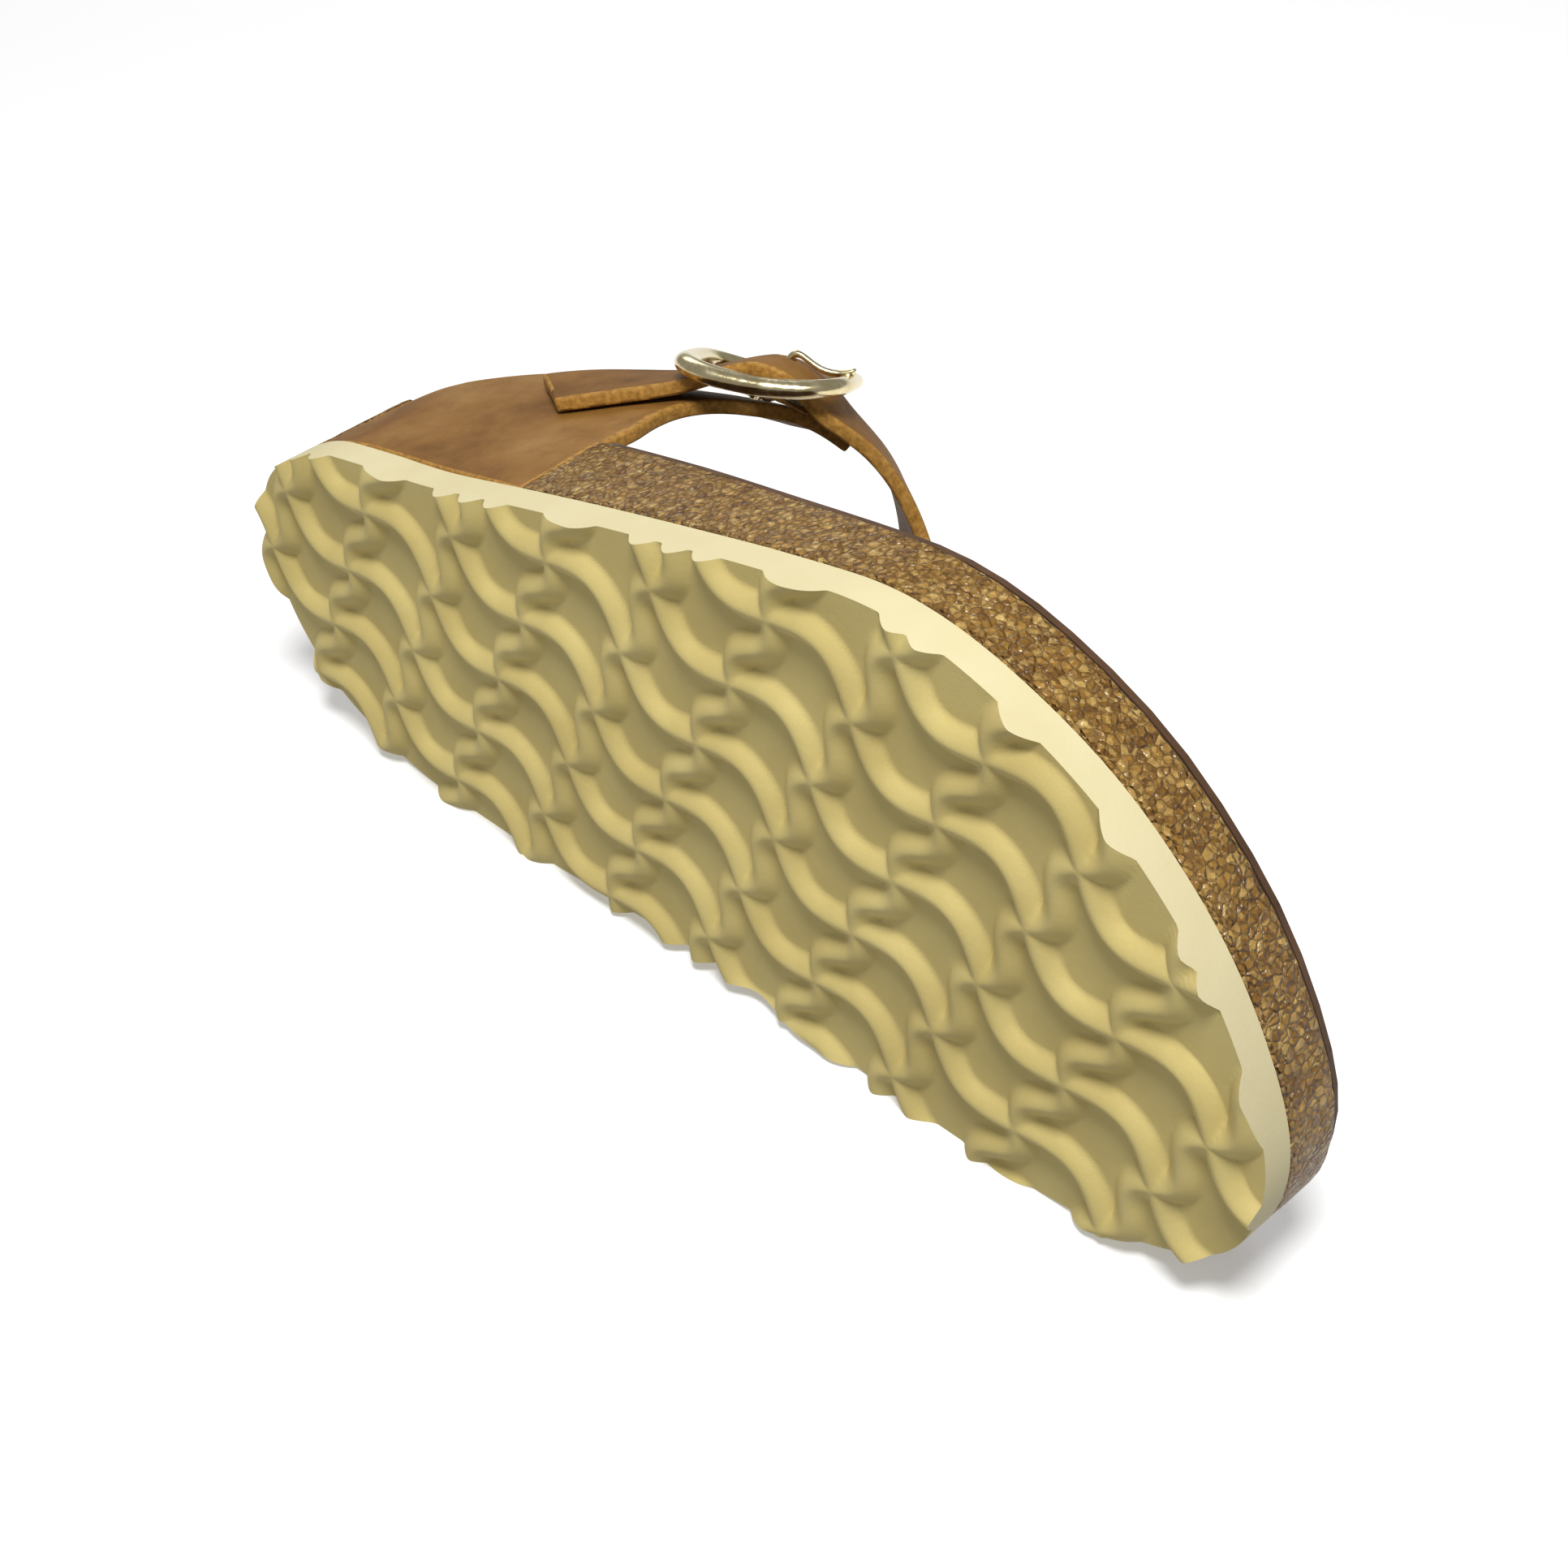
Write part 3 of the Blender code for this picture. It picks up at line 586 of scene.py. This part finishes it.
# %% [markdown]
# The sole is trimmed from a larger sheet, so the ribs' ends stay open in its wall. A solid block
# with the tread cut into it would need a heavy boolean. Here the grid's border is pulled up to
# the cork and the top is closed, which gives the same open ends. The tread's faces get the mark
# that its finish reads, and the brim between tread and wall is kept sharp.

# %% The moulded sole
TREAD_FACING = -0.1


def open_edges(shape):
    """The edges that have a face on one side only."""
    return [edge for edge in shape.edges if edge.is_boundary]


def wall_to_cork(shape):
    """Pulls the border up to the cork and closes the top."""
    wall = bmesh.ops.extrude_edge_only(shape, edges=open_edges(shape))["geom"]
    for vertex in (item for item in wall if isinstance(item, bmesh.types.BMVert)):
        vertex.co.y = TREAD_Y + SOLE_THICK * MM
    bmesh.ops.remove_doubles(shape, verts=shape.verts, dist=TINY)
    bmesh.ops.holes_fill(shape, edges=open_edges(shape))
    bmesh.ops.recalc_face_normals(shape, faces=shape.faces)


def mark_tread(shape):
    """Marks the tread's faces, and gives the numbers of the edges where they end."""
    layer = shape.faces.layers.float.new("tread")
    for face in shape.faces:
        # These faces take the foam's painted shade in its finish.
        face[layer] = float(face.normal.y < TREAD_FACING)
    shape.edges.index_update()
    return [edge.index for edge in shape.edges if len({face[layer] for face in edge.link_faces}) > 1]


def moulded_sole():
    shape = tread_grid()
    wall_to_cork(shape)
    brim = mark_tread(shape)
    piece = add_piece("moulded_sole", shape, EVA, "eva_foam", "outsole", smooth_under=50.0)
    for index in brim:
        piece.data.edges[index].use_edge_sharp = True


moulded_sole()

# %% [markdown]
# The other pieces start as copies of their solids, so they can't drift from them. A solid's
# mesh is loose triangles, which subdivide badly, so the copy is merged first and its triangles
# are joined into the quads they came from.

# %% A copy of a solid
MERGE_WITHIN = 2e-6
FLAT_WITHIN = radians(35)
SQUARE_WITHIN = radians(50)


def copy_of(node):
    """A merged copy of a solid, in quads where it can be."""
    shape = bmesh.new()
    shape.from_mesh(NODES[node].data)
    bmesh.ops.remove_doubles(shape, verts=shape.verts, dist=MERGE_WITHIN)
    bmesh.ops.join_triangles(
        shape, faces=shape.faces, angle_face_threshold=FLAT_WITHIN, angle_shape_threshold=SQUARE_WITHIN
    )
    return shape


print("copy helper ready")

# %% [markdown]
# The cork block is ground to shape, and its side keeps the crumb of its granules. Bump in the
# material alone would leave the outline smooth. So the solid's copy is cut into small faces, and
# each point moves in or out a little.

# %% The cork block
CRUMB = 0.22
CRUMB_PEAK = 0.3
CRUMB_SCALE = 520.0
FINE_SCALE = 1100.0
FACE_AT_MOST = 2.6 * MM
ROUNDS = 3


def cork_block():
    shape = copy_of("cork_footbed")
    for _ in range(ROUNDS):
        long_edges = [edge for edge in shape.edges if edge.calc_length() > FACE_AT_MOST]
        bmesh.ops.subdivide_edges(shape, edges=long_edges, cuts=1, use_grid_fill=True)
    bmesh.ops.triangulate(shape, faces=[face for face in shape.faces if len(face.verts) > 4])
    shape.normal_update()
    for vertex in shape.verts:
        lump = noise.noise(vertex.co * CRUMB_SCALE) + 0.5 * noise.noise(vertex.co * FINE_SCALE)
        vertex.co += vertex.normal * min(lump, CRUMB_PEAK) * CRUMB * MM
    add_piece("cork_block", shape, CORK, "cork", "cork_footbed", smooth_under=60.0)


cork_block()

# %% [markdown]
# A strap is cut from a hide 2.8 mm thick, so it has two smooth faces and a raw edge between two
# rims. Simulated cloth would be too limp for it, and the solid already holds its bend. Its rims
# are found here, to be bevelled later, and the narrow bands between them are marked as cut: those
# whose mean width is under 4 mm.

# %% The straps' rims and cut edges
RIM_ANGLE = radians(55)
EDGE_AT_MOST = 4.0 * MM


def rims_of(shape):
    """The edges where two faces meet at a sharp angle."""
    return [edge for edge in shape.edges if edge.is_manifold and edge.calc_face_angle(0) > RIM_ANGLE]


def mark_cut_edges(shape, rims):
    """Marks the narrow bands between the rims, where the leather was cut."""
    layer = shape.faces.layers.float.new("cut_edge")
    fences = set(rims)
    left = set(shape.faces)
    marked_faces = 0
    while left:
        band = {left.pop()}
        front = list(band)
        while front:
            near = {face for edge in front.pop().edges if edge not in fences for face in edge.link_faces}
            front += near - band
            band |= near
        left -= band
        rim = sum(edge.calc_length() for face in band for edge in face.edges if edge in fences)
        if sum(face.calc_area() for face in band) < EDGE_AT_MOST * rim / 2:
            marked_faces += len(band)
            for face in band:
                face[layer] = 1.0
    print(marked_faces, "faces on cut edges of", len(shape.faces))


print("strap helpers ready")

# %% [markdown]
# There are three leather pieces: the wing of the outer side, the long strap that crosses the
# instep and goes down between the toes, and the small tab that folds round the buckle's bar.
# They are made alike: a bevel keeps the rims crisp, and then subdivision rounds the strap.

# %% The straps
RIM_BEVEL = 0.35 * MM


def subdivided(piece, levels):
    """Adds a subdivision that renders as it shows."""
    step = piece.modifiers.new("rounder", "SUBSURF")
    step.levels = levels
    step.render_levels = levels


def leather_piece(name, node, levels=2):
    shape = copy_of(node)
    rims = rims_of(shape)
    mark_cut_edges(shape, rims)
    bmesh.ops.bevel(
        shape, geom=rims, offset=RIM_BEVEL, affect="EDGES", segments=1, profile=0.5, material=-1
    )
    piece = add_piece(name, shape, LEATHER, "strap_leather", node)
    subdivided(piece, levels)


leather_piece("outer_wing", "lateral_strap")
leather_piece("thong_strap", "main_strap")
leather_piece("folded_tab", "buckle_tab", 1)

# %% [markdown]
# The buckle was cast and tumbled, so every corner of it is round. A bevel would keep its section
# even, but the ring is fullest on the side towards the tread and thins out to the far side. So
# each point of the solid's copy moves out along its normal by a share of that, and subdivision
# rounds it. The bar across the middle keeps its size.

# %% The buckle's ring
RING_FULL = 0.75
RING_THIN = 0.15
BAR_SHARE = 0.35
BAR_FADE = 0.3
RING_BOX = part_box("buckle_frame")
RING_MIDDLE = (Vector(RING_BOX[0]) + Vector(RING_BOX[1])) / 2
RING_REACH = (Vector(RING_BOX[1]) - Vector(RING_BOX[0])) / 2


def clamped(value):
    """A value kept between 0 and 1."""
    return min(max(value, 0.0), 1.0)


def cast_ring():
    shape = copy_of("buckle_frame")
    shape.normal_update()
    for vertex in shape.verts:
        place = vertex.co - RING_MIDDLE
        out = max(abs(place.x) / RING_REACH.x, abs(place.y) / RING_REACH.y)
        near = 0.5 - 0.5 * place.y / RING_REACH.y
        full = RING_THIN + (RING_FULL - RING_THIN) * near
        vertex.co += vertex.normal * full * MM * clamped((out - BAR_SHARE) / BAR_FADE)
    piece = add_piece("cast_frame", shape, BRASS, "buckle_brass", "buckle_frame", smooth_under=180.0)
    subdivided(piece, 2)


cast_ring()
print("ring reaches", [round(value / MM, 1) for value in RING_REACH], "mm from its middle")

# %% [markdown]
# The prong is a bent wire. It hinges on the bar, comes out of the strap's hole and lies low over
# the leather until it climbs onto the ring. A new curve would have to meet the bar and the ring
# again, so the solid's copy is bent instead: its middle sags a little towards the strap.

# %% The prong
PRONG_SAG = 1.8
SAG_FROM = 1.0
SAG_TO = 12.0
SAG_EARLY = 0.6
TO_STRAP = Vector((-0.13, -0.60, -0.78)).normalized()


def wire_prong():
    shape = copy_of("buckle_prong")
    tip = max(shape.verts, key=lambda vertex: (vertex.co - RING_MIDDLE).length).co.copy()
    for vertex in shape.verts:
        from_tip = (vertex.co - tip).length / MM
        share = clamped((from_tip - SAG_FROM) / (SAG_TO - SAG_FROM))
        sag = sin(pi * share ** SAG_EARLY)
        vertex.co += TO_STRAP * sag * PRONG_SAG * MM
    piece = add_piece("wire_prong", shape, BRASS, "buckle_brass", "buckle_prong", smooth_under=180.0)
    subdivided(piece, 1)


wire_prong()

# %% [markdown]
# The lining is a thin suede sheet glued over the whole top of the cork. It lies firmly in the
# footbed's hollows, so there is nothing to drape: the merged copy of its solid takes the suede.

# %% The lining
add_piece("suede_lining", copy_of("footbed_lining"), SUEDE, "suede", "footbed_lining")

# %% [markdown]
# The shoe lies on a plain floor that stays almost white. A white floor alone turns grey where
# the light falls off, and a strong light on it would bounce up and wash out the shoe. So it
# glows faintly, and diffuse rays don't see it.

# %% The floor
FLOOR_HALF = 6.0
FLOOR_WHITE = (0.93, 0.93, 0.93, 1.0)
FLOOR_GLOW = 0.22
WHITE = (1.0, 1.0, 1.0, 1.0)


def pale_floor():
    shape = bmesh.new()
    bmesh.ops.create_grid(shape, x_segments=1, y_segments=1, size=FLOOR_HALF)
    mesh = bpy.data.meshes.new("floor")
    shape.to_mesh(mesh)
    shape.free()
    made, _, shader, _ = finish("pale floor", 0.9)
    shader.inputs["Base Color"].default_value = FLOOR_WHITE
    shader.inputs["Emission Color"].default_value = WHITE
    shader.inputs["Emission Strength"].default_value = FLOOR_GLOW
    mesh.materials.append(made)
    floor = bpy.data.objects.new("floor", mesh)
    bpy.context.scene.collection.objects.link(floor)
    floor.visible_diffuse = False


pale_floor()
print("floor", 2 * FLOOR_HALF, "m wide")

# %% [markdown]
# A lamp beside the camera would flatten the tread. The main softbox hangs high over the toe and
# a little in front of the tread instead, so that its light grazes the ribs and shades the
# panels. A weaker one behind the heel lights the straps from the back, and a white world keeps
# the shadows open.

# %% The light
KEY_PLACE = (0.37, -0.28, 1.03)
KEY_AIM = (0.0, 0.0, 0.04)
KEY_SIZE = 0.30
KEY_POWER = 10.0
BACK_PLACE = (-0.9, 0.5, 0.7)
BACK_AIM = (0.0, 0.0, 0.05)
BACK_SIZE = 0.6
BACK_POWER = 2.0
ROOM_STRENGTH = 0.30


def soft_light(name, place, aim, size, power):
    """A round softbox at a place in metres, turned towards its aim."""
    light = bpy.data.lights.new(name, "AREA")
    light.shape = "DISK"
    light.size = size
    light.energy = power
    lamp = bpy.data.objects.new(name, light)
    lamp.location = place
    lamp.rotation_euler = (Vector(aim) - Vector(place)).to_track_quat("-Z", "Y").to_euler()
    bpy.context.scene.collection.objects.link(lamp)


def pale_room():
    world = bpy.data.worlds.new("pale room")
    world.use_nodes = True
    background = world.node_tree.nodes["Background"]
    background.inputs["Color"].default_value = WHITE
    background.inputs["Strength"].default_value = ROOM_STRENGTH
    bpy.context.scene.world = world
    bpy.context.scene.view_settings.view_transform = "Standard"


soft_light("main softbox", KEY_PLACE, KEY_AIM, KEY_SIZE, KEY_POWER)
soft_light("back softbox", BACK_PLACE, BACK_AIM, BACK_SIZE, BACK_POWER)
pale_room()

# %% [markdown]
# The camera stands beyond the toe on the tread's side, about 40 cm from the middle of the sole.
# It looks down at the sole and is rolled a little. Its place could be guessed and nudged, but
# the tread's square lattice is a ruler in the photograph: place, roll and lens were solved from
# its crossings. Then the lens was lengthened by 2% and the aim moved a little, to fit the
# shoe's outline.

# %% The camera
CAMERA_PLACE = Vector((0.2742, -0.2398, 0.3096))
CAMERA_AIM = Vector((0.0311, -0.0412, 0.0602))
CAMERA_ROLL = radians(-6.49)
CAMERA_LENS = 59.24
SENSOR = 36.0


def add_camera():
    camera = bpy.data.cameras.new("camera")
    camera.lens = CAMERA_LENS
    camera.sensor_width = SENSOR
    stand = bpy.data.objects.new("camera", camera)
    look = (CAMERA_AIM - CAMERA_PLACE).to_track_quat("-Z", "Y").to_matrix().to_4x4()
    stand.matrix_world = Matrix.Translation(CAMERA_PLACE) @ look @ Matrix.Rotation(CAMERA_ROLL, 4, "Z")
    bpy.context.scene.collection.objects.link(stand)
    bpy.context.scene.camera = stand
    print("camera at", [round(value, 3) for value in CAMERA_PLACE])


add_camera()

# %% [markdown]

# %% The end
print("all pieces made")
